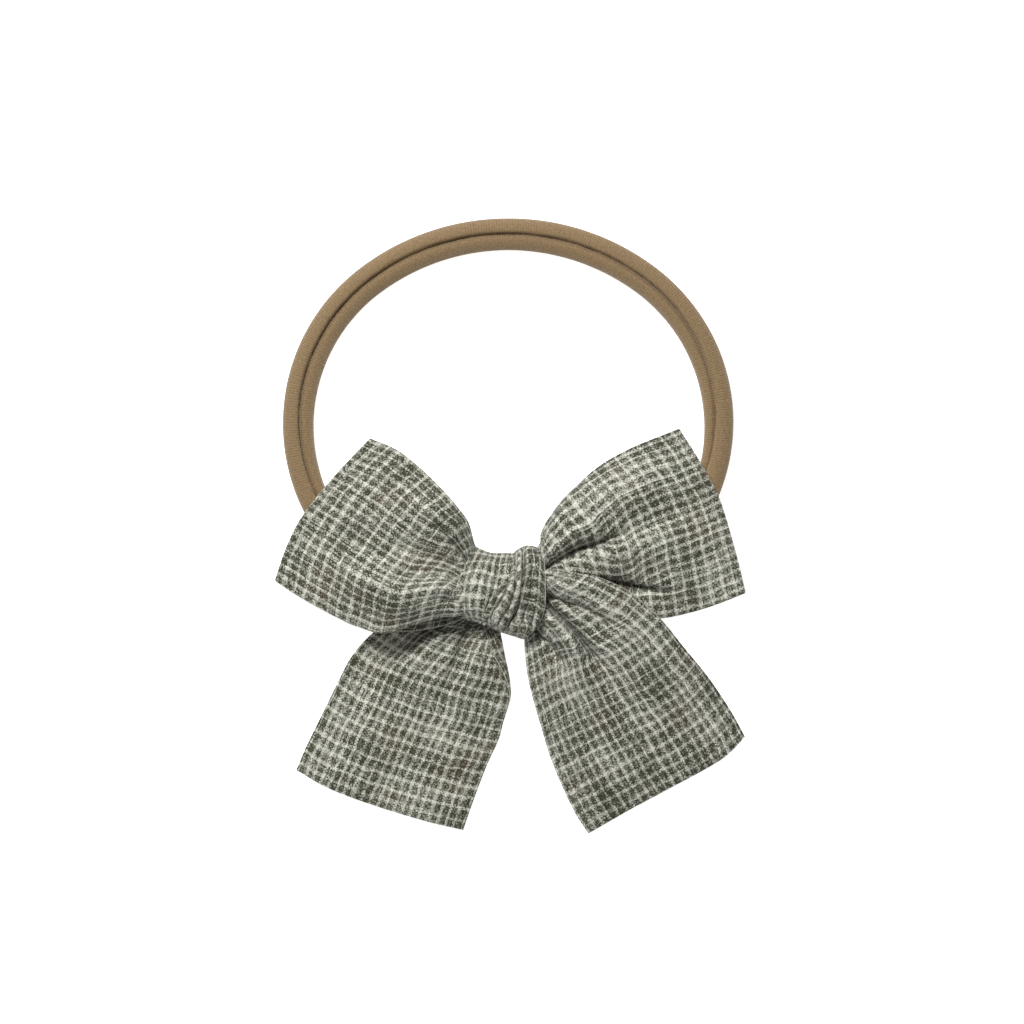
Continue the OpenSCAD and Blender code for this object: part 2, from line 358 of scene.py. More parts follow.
class Nodes:
    """Short calls for building a material's node tree."""

    def __init__(self, name, roughness, sheen=0.0):
        self.material = bpy.data.materials.new(name)
        self.material.use_nodes = True
        self.tree = self.material.node_tree
        self.shader = self.tree.nodes["Principled BSDF"]
        self.shader.inputs["Roughness"].default_value = roughness
        self.shader.inputs["Specular IOR Level"].default_value = 0.25
        self.shader.inputs["Sheen Weight"].default_value = sheen
        self.shader.inputs["Sheen Roughness"].default_value = 0.5

    def add(self, kind, inputs=(), **settings):
        """A node with its settings and inputs; an input is a value or another node's socket."""
        node = self.tree.nodes.new(kind)
        for key, value in settings.items():
            setattr(node, key, value)
        for key, value in dict(inputs).items():
            self.feed(node.inputs[key], value)
        return node

    def feed(self, socket, value):
        if isinstance(value, bpy.types.NodeSocket):
            self.tree.links.new(value, socket)
        else:
            socket.default_value = value

    def math(self, how, a, b=0.0, c=0.0):
        node = self.add("ShaderNodeMath", {0: a, 1: b, 2: c}, operation=how)
        return node.outputs[0]

    def point(self, x, y, z=0.0):
        """A place for a texture to be read at."""
        return self.add("ShaderNodeCombineXYZ", {0: x, 1: y, 2: z}).outputs[0]

    def chance(self, where):
        """A random share for each point, the same at the same point."""
        return self.add("ShaderNodeTexWhiteNoise", {"Vector": where}, noise_dimensions="3D").outputs[0]

    def noise(self, where, scale, detail=2.0, rough=0.55):
        inputs = {"Vector": where, "Scale": scale, "Detail": detail, "Roughness": rough}
        return self.add("ShaderNodeTexNoise", inputs).outputs["Fac"]

    def step(self, value, low, high, out_low=0.0, out_high=1.0):
        """Smooth step from out_low at low to out_high at high."""
        inputs = {"Value": value, "From Min": low, "From Max": high, "To Min": out_low, "To Max": out_high}
        return self.add("ShaderNodeMapRange", inputs, interpolation_type="SMOOTHSTEP").outputs[0]

    def mix(self, share, a, b):
        node = self.add("ShaderNodeMix", data_type="RGBA")
        self.feed(node.inputs["Factor"], share)
        self.feed(node.inputs[6], a)
        self.feed(node.inputs[7], b)
        return node.outputs[2]

    def colour(self, socket):
        self.feed(self.shader.inputs["Base Color"], socket)

    def bump(self, height, distance, strength=1.0):
        inputs = {"Height": height, "Distance": distance, "Strength": strength}
        self.feed(self.shader.inputs["Normal"], self.add("ShaderNodeBump", inputs).outputs[0])


def srgb(r, g, b):
    """Linear colour from 0-255 screen values."""
    def one(c):
        c /= 255
        return c / 12.92 if c <= 0.04045 else ((c + 0.055) / 1.055) ** 2.4
    return one(r), one(g), one(b), 1.0


def check_cloth():
    """Yarn-dyed plain weave: dark olive cells between pale slubby lines, in flecked yarn, with
    browner patches. The UV map is the flat sash in millimetres, x along it."""
    n = Nodes("check_cloth", 0.92, sheen=0.12)
    uv = n.add("ShaderNodeTexCoord").outputs["UV"]
    drift = n.add("ShaderNodeTexNoise", {"Vector": uv, "Scale": 0.16, "Detail": 1.0})
    shift = n.add("ShaderNodeVectorMath", {0: drift.outputs["Color"], 1: (-0.5, -0.5, 0)},
                  operation="ADD").outputs[0]
    moved = n.add("ShaderNodeVectorMath", {0: shift, 1: (1.3, 1.3, 0), 2: uv},
                  operation="MULTIPLY_ADD").outputs[0]
    parts = n.add("ShaderNodeSeparateXYZ", {0: moved})
    along, across = parts.outputs[0], parts.outputs[1]

    def yarns(position, other, pitch, broad, seed):
        """Number and paleness of the yarn at a position, for one set of parallel yarns. The pale
        lines are unevenly spaced, each has its own width, which drifts along it, a few single yarns
        are pale on their own, and every yarn is flecked."""
        index = n.math("FLOOR", n.math("DIVIDE", position, YARN))
        uneven_at = n.point(n.math("MULTIPLY", index, YARN * 0.16), seed)
        uneven = n.math("MULTIPLY", n.noise(uneven_at, 1.0, 1.0), 0.6)
        cell = n.math("MULTIPLY_ADD", index, YARN / pitch, uneven)
        number = n.math("FLOOR", cell)
        from_line = n.math("ABSOLUTE", n.math("SUBTRACT", n.math("FRACT", cell), 0.5))
        place = n.math("MULTIPLY", from_line, pitch)
        own = n.chance(n.point(number, seed))
        line_apart, yarn_apart = 7.3, 5.37
        slub_at = n.point(n.math("MULTIPLY", other, 0.35), n.math("MULTIPLY", number, line_apart), seed)
        slub = n.noise(slub_at, 1.0, 3.0)
        wide = n.math("ADD", n.math("MULTIPLY_ADD", own, 0.18, 0.06), n.math("MULTIPLY", slub, 0.26))
        wide = n.math("MULTIPLY", wide, broad)
        pale = n.step(n.math("DIVIDE", place, wide), 0.6, 1.6, 1.0, 0.0)
        fleck_at = n.point(n.math("MULTIPLY", other, 2.2), n.math("MULTIPLY", index, yarn_apart), seed)
        fleck = n.step(n.noise(fleck_at, 1.0, 2.0, 0.7), 0.28, 0.72, -1.0, 1.0)
        alone = n.chance(n.point(index, seed + 3.3))
        thin = n.math("MULTIPLY", n.step(alone, 0.9, 0.92), n.step(slub, 0.42, 0.56))
        band_at = n.point(n.math("MULTIPLY", position, 0.14), seed, n.math("MULTIPLY", other, 0.02))
        band = n.step(n.noise(band_at, 1.0, 2.0, 0.6), 0.34, 0.66, -0.11, 0.12)
        value = n.math("MULTIPLY_ADD", pale, 0.62, n.math("MULTIPLY_ADD", fleck, 0.4, band))
        return index, n.math("MULTIPLY_ADD", thin, 0.5, value)

    warp_index, warp = yarns(across, along, WARP_PITCH, 1.2, 3.7)
    weft_index, weft = yarns(along, across, WEFT_PITCH, 1.1, 11.1)
    odd = n.math("FRACT", n.math("MULTIPLY", n.math("ADD", warp_index, weft_index), 0.5))
    warp_over = n.math("GREATER_THAN", odd, 0.25)
    top = n.math("MULTIPLY_ADD", n.math("SUBTRACT", warp, weft), warp_over, weft)
    both = n.math("MULTIPLY", n.math("ADD", warp, weft), 0.5)
    value = n.math("ADD", n.math("MULTIPLY", top, 0.5), n.math("MULTIPLY_ADD", both, 0.8, 0.02))
    speck = n.step(n.noise(uv, 2.9, 1.0, 0.6), 0.32, 0.68, -0.1, 0.1)
    value = n.math("ADD", value, speck)
    patch = n.step(n.noise(uv, 0.09, 1.0), 0.35, 0.68, -0.03, 0.08)
    value = n.add("ShaderNodeClamp", {0: n.math("ADD", value, patch)}).outputs[0]
    olive, brown, pale = srgb(58, 60, 43), srgb(72, 65, 48), srgb(227, 227, 213)
    dark = n.mix(n.step(n.noise(uv, 0.075, 1.0), 0.5, 0.68), olive, brown)
    n.colour(n.mix(value, dark, pale))
    round_warp = n.math("ABSOLUTE", n.math("SINE", n.math("MULTIPLY", across, math.pi / YARN)))
    round_weft = n.math("ABSOLUTE", n.math("SINE", n.math("MULTIPLY", along, math.pi / YARN)))
    height = n.math("ADD", n.math("MULTIPLY", n.math("ADD", round_warp, round_weft), 0.5), value)
    n.bump(height, 0.00008, 0.6)
    return n.material


def edge_thread():
    """The pale line where the sash's edge is turned."""
    n = Nodes("edge_thread", 0.85)
    where = n.add("ShaderNodeTexCoord").outputs["Object"]
    n.colour(n.mix(n.noise(where, 900.0, 2.0), srgb(150, 148, 132), srgb(214, 212, 198)))
    return n.material


def nylon_knit():
    """Fine rib knit across the band. The UV map is millimetres along the band and round it."""
    n = Nodes("nylon_knit", 0.8, sheen=0.2)
    uv = n.add("ShaderNodeTexCoord").outputs["UV"]
    parts = n.add("ShaderNodeSeparateXYZ", {0: uv})
    wander = n.math("MULTIPLY", n.noise(uv, 0.9, 2.0), 0.35)
    along = n.math("ADD", parts.outputs[0], wander)
    rib = n.math("SINE", n.math("MULTIPLY", along, 2 * math.pi / RIB_PITCH))
    stitch = n.math("SINE", n.math("MULTIPLY", parts.outputs[1], 2 * math.pi / STITCH_PITCH))
    knit = n.math("ADD", rib, n.math("MULTIPLY", stitch, 0.35))
    tone = n.math("ADD", n.math("MULTIPLY", knit, 0.09), n.noise(uv, 1.6, 3.0, 0.7))
    n.colour(n.mix(n.step(tone, 0.25, 0.8), srgb(127, 104, 74), srgb(152, 129, 96)))
    n.bump(knit, 0.00006, 0.55)
    return n.material


def thread():
    """Matte sewing thread with a fine twist."""
    n = Nodes("join_thread", 0.7)
    where = n.add("ShaderNodeTexCoord").outputs["Object"]
    twist = n.noise(where, 4000.0, 2.0)
    n.colour(n.mix(twist, srgb(96, 78, 52), srgb(132, 110, 80)))
    n.bump(twist, 0.00002)
    return n.material


CHECK, THREAD, NYLON, STITCH = check_cloth(), edge_thread(), nylon_knit(), thread()


# ---------------------------------------------------------------- the loops of the bow

def loop(name, low, high, back_low, back_high, bulge, front, back, creases, seed, uv_v0, seams=()):
    """A loop of the sash: the front from the knot to the outer fold, and the back behind it.
    front and back are (u keys, v keys, heights) of the two panels; creases shape the front."""
    fold_share = 0.022
    v = steps(116)
    u_front = np.linspace(0, 1 - fold_share, 128)
    turn = np.radians(np.arange(75, -76, -25))
    u_turn = 1 - fold_share + fold_share * np.cos(turn)
    u_back = u_front[::-2]
    plan = fan(low, high, bulge, np.concatenate([u_front, u_turn]), v)
    behind = fan(back_low, back_high, bulge, np.concatenate([u_back[::-1], u_turn[::-1]]), v)
    behind = behind[:len(u_back)][::-1]
    front_plan, turn_plan = plan[:len(u_front)], plan[len(u_front):]
    reach = u_front / (1 - fold_share)
    z = net(*front, reach, v)
    z = z + gathers(reach, v, seed, 0.3, 0.38)
    ripple = waves(front_plan[..., 0], front_plan[..., 1], seed, 11) * 0.16
    z = z + ripple * np.clip((1 - reach) / 0.08, 0, 1)[:, None]
    face = np.dstack([front_plan, z])
    face = face + sum(crease(face, **c) for c in creases)
    z_turn = np.repeat((FOLD_Z + FOLD_R * np.sin(turn))[:, None], len(v), axis=1)
    z_back = net(*back, u_back / (1 - fold_share), v) + gathers(u_back, v, seed + 1, 0.3, 0.25)
    grid = np.concatenate([face, np.dstack([turn_plan, z_turn]),
                           np.dstack([behind, z_back])])
    along = lengths(grid, 0)
    at_fold = len(u_front) + len(turn) // 2
    return cloth(name, grid, along - along[at_fold], uv_v0, seams)


ACROSS = [0, 0.15, 0.35, 0.55, 0.75, 0.9, 1]     # places across the sash where heights are given

left_loop = loop(
    "left_loop",
    low=[(-6, -45), (-11.6, -47.6), (-16, -48), (-22.4, -49.6), (-26.5, -51), (-31.2, -51.9),
         (-36.9, -50.2), (-44, -47), (-52, -42.5), (-56.6, -39.5)],
    high=[(-5, -33), (-8.4, -31), (-9.5, -27), (-11.6, -22.5), (-15.3, -17.9), (-20.9, -12.3),
          (-27.1, -7.4), (-33.3, -4.7)],
    back_low=[(-5, -46), (-12, -48.8), (-16, -50.2), (-25, -51.6), (-36.9, -50.4), (-44, -47),
              (-52, -42.5), (-56.6, -39.5)],
    back_high=[(-4, -34), (-8, -31), (-10, -24.5), (-15.6, -17.9), (-21, -12.5), (-27.1, -7.6),
               (-33.3, -4.7)],
    bulge=[(0, 0), (0.2, 2.2), (0.4, 3.2), (0.7, 2.1), (1, 0)],
    front=([0, 0.14, 0.34, 0.6, 0.85, 1], [0, 0.14, 0.27, 0.42, 0.62, 0.84, 1],
           [[11, 11.8, 12.2, 11.2, 11, 11.2, 10.6],
            [12, 14, 15, 12.2, 12, 12.4, 11],
            [12.8, 16, 18.2, 13.8, 14.2, 15.4, 12.8],
            [11.2, 14.4, 17, 14, 15, 15.8, 12.8],
            [9.8, 11.4, 12.8, 11.8, 12.6, 12.6, 10.4],
            [FOLD_Z + FOLD_R] * 7]),
    back=([0, 0.5, 1], ACROSS,
          [[7.2, 7, 7, 7.4, 8, 8.2, 8.6], [6.4, 6.6, 7, 7.2, 7.2, 7.4, 7.7], [FOLD_Z - FOLD_R] * 7]),
    creases=[
        dict(points=[(-8.8, -36), (-12.4, -31.4), (-15.3, -27.7), (-20.5, -21.5)],
             depth=[-3.0, -1.4, 0], width=[0.7, 0.9, 1.8], lap=-0.6, over=0.3),
        dict(points=[(-8.8, -31.5), (-12, -26.5), (-16.5, -21), (-22, -15.5)],
             depth=[0.9, 0.7, 0], width=[1.2, 1.6, 2.6]),
        dict(points=[(-11.5, -36.5), (-17, -33.5), (-24, -31), (-35, -29)],
             depth=[-1.8, -1.4, 0], width=[1.6, 2.4, 4.0]),
        dict(points=[(-12.5, -41), (-19, -38), (-27, -36.2), (-38, -36)],
             depth=[1.2, 1.4, 0], width=[1.4, 2.4, 4.0]),
        dict(points=[(-12.5, -44.5), (-18, -43.2), (-25, -43.4), (-34, -43)],
             depth=[-1.4, -1.0, 0], width=[1.0, 1.7, 3.0]),
    ],
    seed=5, uv_v0=0.6, seams=[("low", 0.8, 1.0)])
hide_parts("left_loop_front", "left_loop_back")
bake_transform(left_loop)

right_loop = loop(
    "right_loop",
    low=[(5, -42), (9.5, -44.5), (16, -47.5), (25, -49.2), (37.4, -48.4), (42.3, -47.5),
         (49.6, -45.4), (57.4, -42.4)],
    high=[(4, -33), (7.6, -30.6), (8, -27.6), (9.7, -23.8), (12.9, -19.4), (16.5, -15.8),
          (20.7, -12.2), (29.8, -7), (41.2, -2.3)],
    back_low=[(5, -43), (12, -46.5), (25, -49), (37.4, -48.4), (49.6, -45.4), (57.4, -42.4)],
    back_high=[(4, -34), (7.8, -31), (10.5, -23), (16.7, -16), (29.8, -7.2), (41.2, -2.3)],
    bulge=[(0, 0), (0.24, 1.5), (0.55, 2.7), (0.75, 1.9), (1, 0)],
    front=([0, 0.16, 0.38, 0.62, 0.85, 1], [0, 0.14, 0.27, 0.42, 0.56, 0.74, 0.9, 1],
           [[8.8, 9.2, 9.8, 11.6, 11.6, 13, 12.8, 11],
            [8.4, 9.0, 9.6, 13.0, 12, 15, 14.8, 11.8],
            [8.4, 9.4, 10.0, 14.4, 13.2, 17.2, 16, 12],
            [8.6, 10.4, 11.8, 14.8, 14, 16, 14.8, 11.4],
            [9.0, 10.8, 12.2, 13.0, 12.6, 12.8, 11.6, 10],
            [FOLD_Z + FOLD_R] * 8]),
    back=([0, 0.5, 1], ACROSS,
          [[8.6, 8.2, 8, 8, 8, 8.2, 8.6], [7.6, 7.3, 7.2, 7.2, 7.2, 7.4, 7.7], [FOLD_Z - FOLD_R] * 7]),
    creases=[
        dict(points=[(7, -37), (9.5, -35), (13.6, -32.2), (18, -30.1), (22, -28.9), (29, -26.8)],
             depth=[-3.6, -3.4, 0], width=[1.3, 1.7, 2.6], lap=3.2, over=1.6),
        dict(points=[(9.5, -33), (14, -29.2), (20, -26.2), (28, -23.5)],
             depth=[1.3, 1.4, 0], width=[1.4, 2.2, 4.0]),
        dict(points=[(8.5, -31), (10, -26), (13, -20.5), (18.5, -15.2), (24, -11.5)],
             depth=[-1.8, -1.2, 0], width=[0.9, 1.0, 1.5], lap=-0.8, over=0.8),
        dict(points=[(10, -37), (18, -33.8), (28, -31.8), (42, -31)],
             depth=[1.5, 1.4, 0], width=[1.6, 2.6, 5.0]),
        dict(points=[(13, -37), (20, -37.6), (27, -38.6), (33, -39.8), (40, -41.5)],
             depth=[-1.6, -4.0, 0], width=[1.4, 1.9, 3.0], lap=3.4, over=1.6),
    ],
    seed=8, uv_v0=71.3)
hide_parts("right_loop_front", "right_loop_back")
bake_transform(right_loop)


# ---------------------------------------------------------------- the tails

def tail(name, low, high, bulge, heights, creases, seed, uv_v0, margin=(), seams=()):
    """A free end of the sash. heights is (u keys, v keys, table); margin is (u, width) of the edge
    that curls up and over along the high side, for which the plan is made wider."""
    u, v = steps(150), steps(116)
    plan = fan(low, high, bulge, u, v)
    if len(margin):
        wide = np.maximum(profile(margin, u), 0)
        in_bend = (math.pi - 1) * MARGIN_R - CLOTH_T / 2
        reach = wide + in_bend * np.minimum(wide / 2, 1)
        chord = plan[:, -1] - plan[:, 0]
        chord /= np.linalg.norm(chord, axis=1, keepdims=True)
        plan = plan + (v[None, :] * reach[:, None])[..., None] * chord[:, None]
    z = net(*heights, u, v)
    z = z + gathers(u, v, seed, 0.26, 0.5)
    calm = np.clip(np.minimum(u, 1 - u) / 0.06, 0, 1)[:, None]
    z = z + waves(plan[..., 0], plan[..., 1], seed, 12) * 0.2 * calm
    grid = np.dstack([plan, z])
    grid = grid + sum(crease(grid, **c) for c in creases)
    grid[..., 2] = np.maximum(grid[..., 2], 0.5)
    if len(margin):
        grid = roll_edge(grid, wide, MARGIN_R)
    along = lengths(grid, 0)
    return cloth(name, grid, along - along[-1:], uv_v0, seams)


left_tail = tail(
    "left_tail",
    low=[(-9, -45), (-20, -46.5), (-29, -49), (-33.8, -52.6), (-38.6, -58.1), (-41.9, -64.4),
         (-45.9, -72.5), (-49.4, -79.6), (-52, -85.7)],
    high=[(-3, -46), (-2.2, -52.7), (-1.4, -56.5), (-0.4, -61.3), (-0.1, -66), (-0.8, -70.5),
          (-2.1, -77.2), (-5.3, -84.5), (-8.5, -92.9), (-11.1, -100.4)],
    bulge=[(0, 0), (0.2, 1.5), (0.5, 1.7), (0.8, 1), (1, 0)],
    heights=([0, 0.2, 0.45, 0.75, 1], ACROSS,
             [[4.0, 4.4, 4.8, 5.0, 5.0, 5.0, 4.8],
              [3.2, 3.6, 4.2, 4.6, 4.8, 4.2, 3.6],
              [1.6, 2.2, 3.2, 3.8, 3.4, 3.0, 2.2],
              [0.9, 1.4, 2.1, 1.5, 2.1, 1.7, 1.0],
              [0.5, 0.6, 0.9, 0.5, 0.9, 0.7, 0.5]]),
    creases=[
        dict(points=[(-11.5, -47), (-14.5, -50.5), (-18.5, -56), (-25, -65)],
             depth=[1.6, 1.2, 0], width=[1.3, 1.6, 3.0], lap=-0.7, over=0.3),
        dict(points=[(-9, -48), (-11, -53), (-13.5, -60), (-18, -72)],
             depth=[-2.6, -2.0, 0], width=[0.9, 1.3, 2.6], lap=0.6, over=0.3),
        dict(points=[(-6.5, -49), (-7, -54), (-8, -62), (-10, -76)],
             depth=[1.1, 1.0, 0], width=[1.0, 1.5, 2.6]),
        dict(points=[(-16, -48), (-22, -52), (-28, -59), (-35, -70)],
             depth=[-1.8, -1.6, 0], width=[1.1, 1.9, 3.4]),
    ],
    seed=12, uv_v0=142.9, margin=[(0, 4.2), (0.12, 3.2), (0.24, 1.9), (0.38, 0.8), (0.52, 0), (1, 0)],
    seams=[("high", 0.0, 0.5)])
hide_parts("left_tail_root", "left_tail_face", "left_tail_backing")

right_tail = tail(
    "right_tail",
    low=[(4.5, -46), (4, -52), (4.1, -57), (4.6, -62), (5.8, -67.6), (7.7, -74.2), (10.4, -83.1),
         (15.8, -95.3), (19.5, -101.3)],
    high=[(6.5, -36.5), (8.7, -36.4), (13.6, -36.5), (19, -37.5), (24.4, -39.4), (29.8, -42.2),
          (34.2, -46), (37.8, -49.4), (42.5, -55.1), (49.1, -63.2), (54.5, -71.3), (57.9, -77.4)],
    bulge=[(0, 0), (0.25, 0.4), (0.5, 1.1), (0.82, 1.8), (0.93, 1), (1, 0)],
    heights=([0, 0.18, 0.4, 0.62, 0.82, 1], ACROSS,
             [[8.6, 9.6, 11.4, 13.2, 14.4, 15.0, 15.0],
              [7.6, 9.6, 12.2, 13.8, 15.0, 15.0, 14.4],
              [6.0, 7.8, 10.4, 12.2, 13.0, 12.8, 12.2],
              [3.2, 4.6, 6.4, 8.0, 8.8, 8.6, 8.0],
              [1.6, 2.6, 3.6, 4.4, 4.2, 3.6, 3.0],
              [0.5, 0.8, 0.5, 0.9, 1.0, 0.7, 0.5]]),
    creases=[
        dict(points=[(7.4, -42.4), (11, -46), (14.4, -49.5), (18, -53.4), (25, -62)],
             depth=[-5.0, -5.0, 0], width=[0.9, 1.0, 1.8], lap=1.2, over=0.3),
        dict(points=[(7.2, -45.4), (10.6, -49), (14.6, -53.6), (21, -62)],
             depth=[2.0, 2.0, 0], width=[1.1, 1.4, 2.8]),
        dict(points=[(8.2, -41.6), (14.6, -44.2), (20, -46.2), (29, -51)],
             depth=[-2.6, -2.4, 0], width=[1.1, 1.3, 2.2], lap=1.5, over=0.5),
        dict(points=[(8.8, -39.3), (15, -40.4), (22, -43.2), (32, -50)],
             depth=[1.2, 1.2, 0], width=[1.2, 2.0, 3.6]),
        dict(points=[(5, -50), (8, -52.8), (11.5, -56), (15.5, -64)],
             depth=[-2.8, -2.4, 0], width=[0.8, 1.0, 1.8], lap=-0.6, over=0.3),
        dict(points=[(20, -52), (27, -58), (34, -66), (41, -76)],
             depth=[0.8, 1.0, 0], width=[2.0, 3.0, 4.0]),
    ],
    seed=21, uv_v0=213.5, seams=[("high", 0.03, 0.52)])
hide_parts("right_tail_root", "right_tail_face", "right_tail_backing")


def blend_tail(piece):
    """Bakes a tail's placement into its mesh."""
    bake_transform(piece)


blend_tail(left_tail)
blend_tail(right_tail)


# ---------------------------------------------------------------- the knot

def knot_turn(name, left, right, top, bottom, face_z, creases, seed, uv_v0, round_over, seams=()):
    """Cloth wound once round the band and the crossing. left and right are the turn's side edges as
    seen from the front, top to bottom; top and bottom are its (v, y) outline. round_over is how
    far the face falls off towards the left and right edges."""
    angle = np.linspace(0, 2 * math.pi, 220, endpoint=False)
    v = steps(70, 0.01)
    c, s = np.cos(angle), np.sin(angle)
    squareness = 0.8
    up = np.sign(c) * np.abs(c) ** squareness
    out = np.sign(s) * np.abs(s) ** squareness
    down_share = (1 - up) / 2
    y_top = profile(top, v)
    y_bottom = profile(bottom, v)
    y = y_top[None, :] * (1 - down_share)[:, None] + y_bottom[None, :] * down_share[:, None]
    x_left = profile(left, down_share)
    x_right = profile(right, down_share)
    behind = np.clip(-s, 0, 1)
    x_left = x_left * (1 - behind) + np.clip(x_left, -TURN_BACK_HALF, 0) * behind
    x_right = x_right * (1 - behind) + np.clip(x_right, 0, TURN_BACK_HALF) * behind
    x = x_left[:, None] * (1 - v)[None, :] + x_right[:, None] * v[None, :]
    middle = (face_z + TURN_BACK_Z) / 2
    edge = 1 - round_over[0] * np.exp(-(v / 0.16) ** 2) - round_over[1] * np.exp(-((1 - v) / 0.13) ** 2)
    half = np.where(out[:, None] > 0, (face_z - middle) * edge[None, :], middle - TURN_BACK_Z)
    z = middle + out[:, None] * half
    front = np.clip(s, 0, 1)[:, None] ** 0.5
    z = z + (waves(x, y, seed, 3.4) * 0.1 + waves(x * 3, y, seed + 1, 5) * 0.1) * front
    grid = np.dstack([x, y, z])
    grid = grid + sum(crease(grid, front=front, **k) for k in creases)
    along = lengths(grid, 0)
    return cloth(name, grid, along, uv_v0, seams, KNOT_CLOTH_T, SASH_W * TURN_SHARE, closed=True)


under_turn = knot_turn(
    "under_turn_cloth",
    left=[(0, -8.6), (0.2, -10.2), (0.45, -12.2), (0.65, -12.8), (0.85, -12.3), (1, -10.8)],
    right=[(0, 3.5), (0.5, 3.5), (1, -1)],
    top=[(0, -31), (0.35, -32.6), (0.7, -33.1), (1, -33)],
    bottom=[(0, -48.5), (0.4, -49.3), (1, -51.5)],
    face_z=16.2,
    creases=[
        dict(points=[(-9.5, -32), (-10.5, -38), (-10.6, -44), (-9.5, -48)],
             depth=[-0.3, -0.45, -0.2], width=[0.5, 0.6, 0.6]),
        dict(points=[(-5, -33), (-6, -39), (-7, -44), (-8.5, -48.5)],
             depth=[0.2, 0.35, 0.1], width=[1.0, 1.4, 1.2]),
        dict(points=[(-1.5, -34), (-2.5, -39), (-4.5, -44), (-7, -48.8)],
             depth=[-0.2, -0.6, -0.8], width=[0.8, 0.9, 0.8]),
    ],
    seed=31, uv_v0=290, round_over=(0.3, 0.1))

over_turn = knot_turn(
    "over_turn_cloth",
    left=[(0, 1.4), (0.2, 0.6), (0.45, -2.0), (0.7, -4.8), (0.85, -5.9), (1, -5.2)],
    right=[(0, 7.4), (0.15, 8.6), (0.45, 8.95), (0.7, 8.7), (0.9, 7.2), (1, 5.2)],
    top=[(0, -33), (0.12, -32), (0.4, -31), (0.7, -30.9), (1, -31.5)],
    bottom=[(0, -49.8), (0.2, -51), (0.4, -51.8), (0.65, -52.6), (0.88, -53.2), (1, -52)],
    face_z=18.0,
    creases=[
        dict(points=[(3.3, -30.5), (3.4, -35), (3.3, -39.2), (2.1, -45.6), (-0.4, -50), (-2.8, -55)],
             depth=[-2.8, -3.2, -3.2], width=[0.8, 0.9, 0.9], lap=-2.4, over=0.4),
        dict(points=[(1.6, -31.5), (1.5, -37.5), (1.2, -42), (-0.9, -46.8), (-4.4, -52)],
             depth=[-1.6, -2.0, -2.2], width=[0.55, 0.6, 0.65], lap=-1.5, over=0.4),
        dict(points=[(0.6, -35.5), (-0.6, -41), (-3, -45.5), (-6, -50)],
             depth=[-1.2, -1.6, -1.6], width=[0.5, 0.55, 0.6], lap=-1.2, over=0.3),
        dict(points=[(5.6, -35.5), (5.2, -42), (3.9, -47), (1.2, -54)],
             depth=[-0.6, -1.1, -1.2], width=[0.5, 0.6, 0.6], lap=-0.9, over=0.3),
        dict(points=[(7.2, -38.5), (7, -44.5), (5.6, -49), (3.2, -54.5)],
             depth=[-0.2, -0.6, -0.7], width=[0.4, 0.5, 0.5], lap=-0.4),
    ],
    seed=37, uv_v0=340, round_over=(0.16, 0.2), seams=[("high", 0.03, 0.5)])


def on_knot(piece, node):
    """Puts a piece in place of one node of the knot."""
    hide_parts(node)
    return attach(piece, "knot")


def back_turn():
    """The cloth behind the knot, wound round the squeezed band: a pleated sleeve open at both ends."""
    lo, hi = (np.array(corner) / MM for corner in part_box("knot_back_turn"))
    inside, end_gap = 0.4, 0.3
    middle, radius = (lo + hi) / 2, (hi[2] - lo[2]) / 2 - inside
    angle = np.linspace(0, 2 * math.pi, 96, endpoint=False)
    x = np.linspace(lo[0] + end_gap, hi[0] - end_gap, 60)
    pleat = 0.22 * np.sin(x * 3.1 + 0.8 * np.sin(x)) - 0.1
    r = radius + pleat[None, :] * np.ones((len(angle), 1))
    grid = np.dstack([np.repeat(x[None, :], len(angle), axis=0),
                      middle[1] + r * np.cos(angle)[:, None], middle[2] + r * np.sin(angle)[:, None]])
    piece = cloth("knot_back_turn_cloth", grid, lengths(grid, 0), 400, thickness=KNOT_CLOTH_T, closed=True)
    return on_knot(piece, "knot_back_turn")


def inner_crossing():
    """The bunched sash inside the knot, which shows where the loops and tails leave it. It is
    lobed like bunched cloth, and drops on its lower side to close the gap under the over turn."""
    lo, hi = (np.array(corner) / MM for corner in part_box("knot_inner_crossing"))
    middle, half = (lo + hi) / 2, (hi - lo) / 2
    angle = np.linspace(0, 2 * math.pi, 120, endpoint=False)
    x = np.linspace(-1, 1, 90)
    swell = np.sqrt(np.clip(1 - np.abs(x) ** 6, 0.02, 1))
    lobes = 1 - 0.05 * np.abs(np.sin(angle * 5.5))[:, None] * np.ones((1, len(x)))
    drop = 0.18 * np.clip(-np.cos(angle), 0, 1)
    grid = np.dstack([np.repeat((middle[0] + x * half[0])[None, :], len(angle), axis=0),
                      middle[1] + half[1] * (np.cos(angle) - drop)[:, None] * swell * lobes,
                      middle[2] + half[2] * np.sin(angle)[:, None] * swell * lobes])
    piece = cloth("knot_inner_cloth", grid, lengths(grid, 0), 440, thickness=KNOT_CLOTH_T, closed=True)
    return on_knot(piece, "knot_inner_crossing")


knot_pieces = [on_knot(under_turn, "knot_under_turn"), on_knot(over_turn, "knot_over_turn"),
               back_turn(), inner_crossing()]


# ---------------------------------------------------------------- the headband

